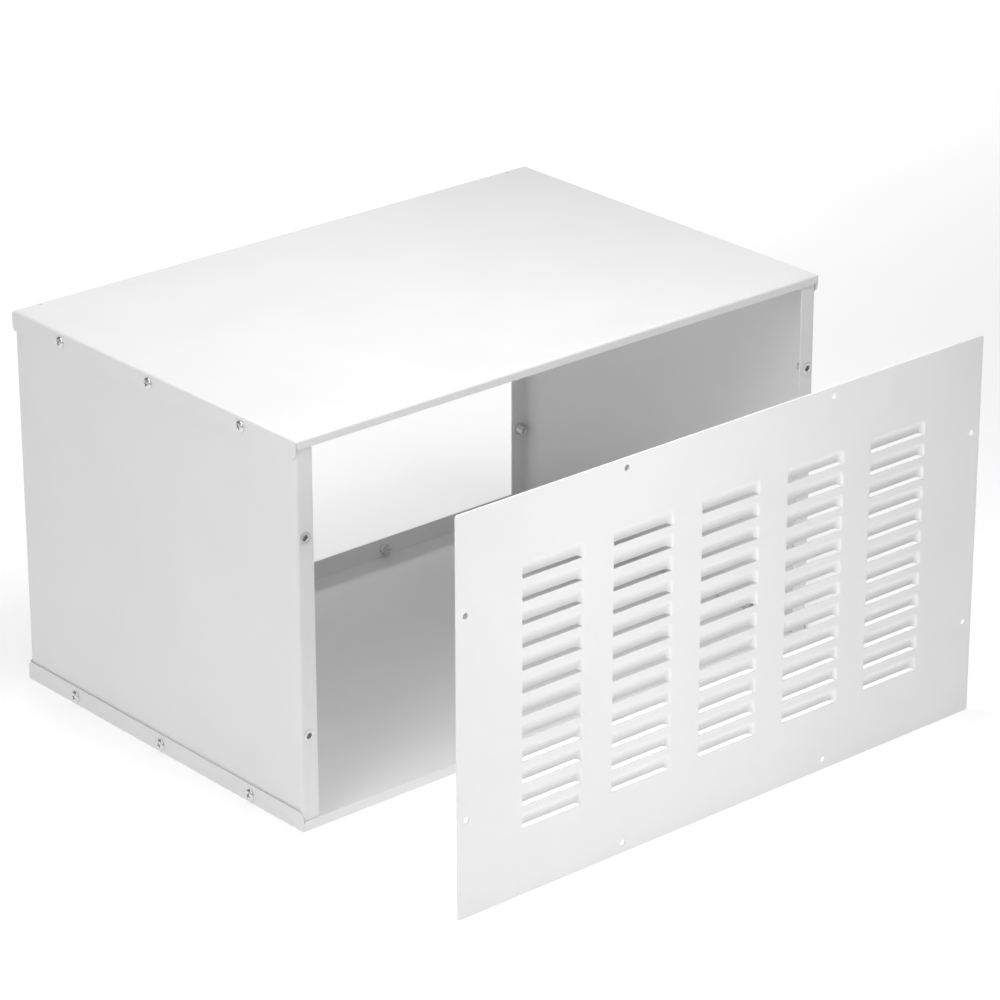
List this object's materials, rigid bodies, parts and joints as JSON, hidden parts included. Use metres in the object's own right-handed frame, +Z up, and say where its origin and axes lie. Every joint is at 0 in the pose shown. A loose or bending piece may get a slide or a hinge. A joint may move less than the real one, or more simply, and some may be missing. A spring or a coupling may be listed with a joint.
{
  "type": "wall sleeve with louvred grille",
  "caption": "Open sheet-metal wall sleeve for a through-the-wall air conditioner, with its louvred grille panel taken off and standing in front of it.",
  "frame": {"origin": "centre of the sleeve's underside", "axes": "+X to the right seen from the grille's side, +Y through the wall away from the grille, +Z up"},
  "size_m": [0.6658, 0.6648, 0.396],
  "materials": {
    "sleeve_paint": "white powder coat, satin",
    "grille_paint": "white powder coat, satin",
    "screw_zinc": "bright zinc plate",
    "nut_zinc": "zinc plate"
  },
  "bodies": {
    "sleeve": {"top_pan": "sleeve_paint", "bottom_pan": "sleeve_paint", "left_side_panel": "sleeve_paint", "right_side_panel": "sleeve_paint", "screw_left_bottom_1": "screw_zinc", "screw_left_bottom_2": "screw_zinc", "screw_left_bottom_3": "screw_zinc", "screw_left_top_1": "screw_zinc", "screw_left_top_2": "screw_zinc", "screw_left_top_3": "screw_zinc", "screw_right_bottom_1": "screw_zinc", "screw_right_bottom_2": "screw_zinc", "screw_right_bottom_3": "screw_zinc", "screw_right_top_1": "screw_zinc", "screw_right_top_2": "screw_zinc", "screw_right_top_3": "screw_zinc", "rivet_nut_front_left_lower": "nut_zinc", "rivet_nut_front_left_upper": "nut_zinc", "rivet_nut_front_right_lower": "nut_zinc", "rivet_nut_front_right_upper": "nut_zinc", "rivet_nut_rear_left_lower": "nut_zinc", "rivet_nut_rear_left_upper": "nut_zinc", "rivet_nut_rear_right_lower": "nut_zinc", "rivet_nut_rear_right_upper": "nut_zinc", "rivet_nut_rear_bottom_left": "nut_zinc", "rivet_nut_rear_bottom_right": "nut_zinc", "rivet_nut_rear_top_left": "nut_zinc", "rivet_nut_rear_top_right": "nut_zinc"},
    "grille": {"louvre_grille": "grille_paint"}
  },
  "joints": [
    {"name": "grille_slide", "type": "slide", "parent": "sleeve", "child": "grille", "axis": [0, 1, 0], "range_m": [0, 0.2207]}
  ]
}
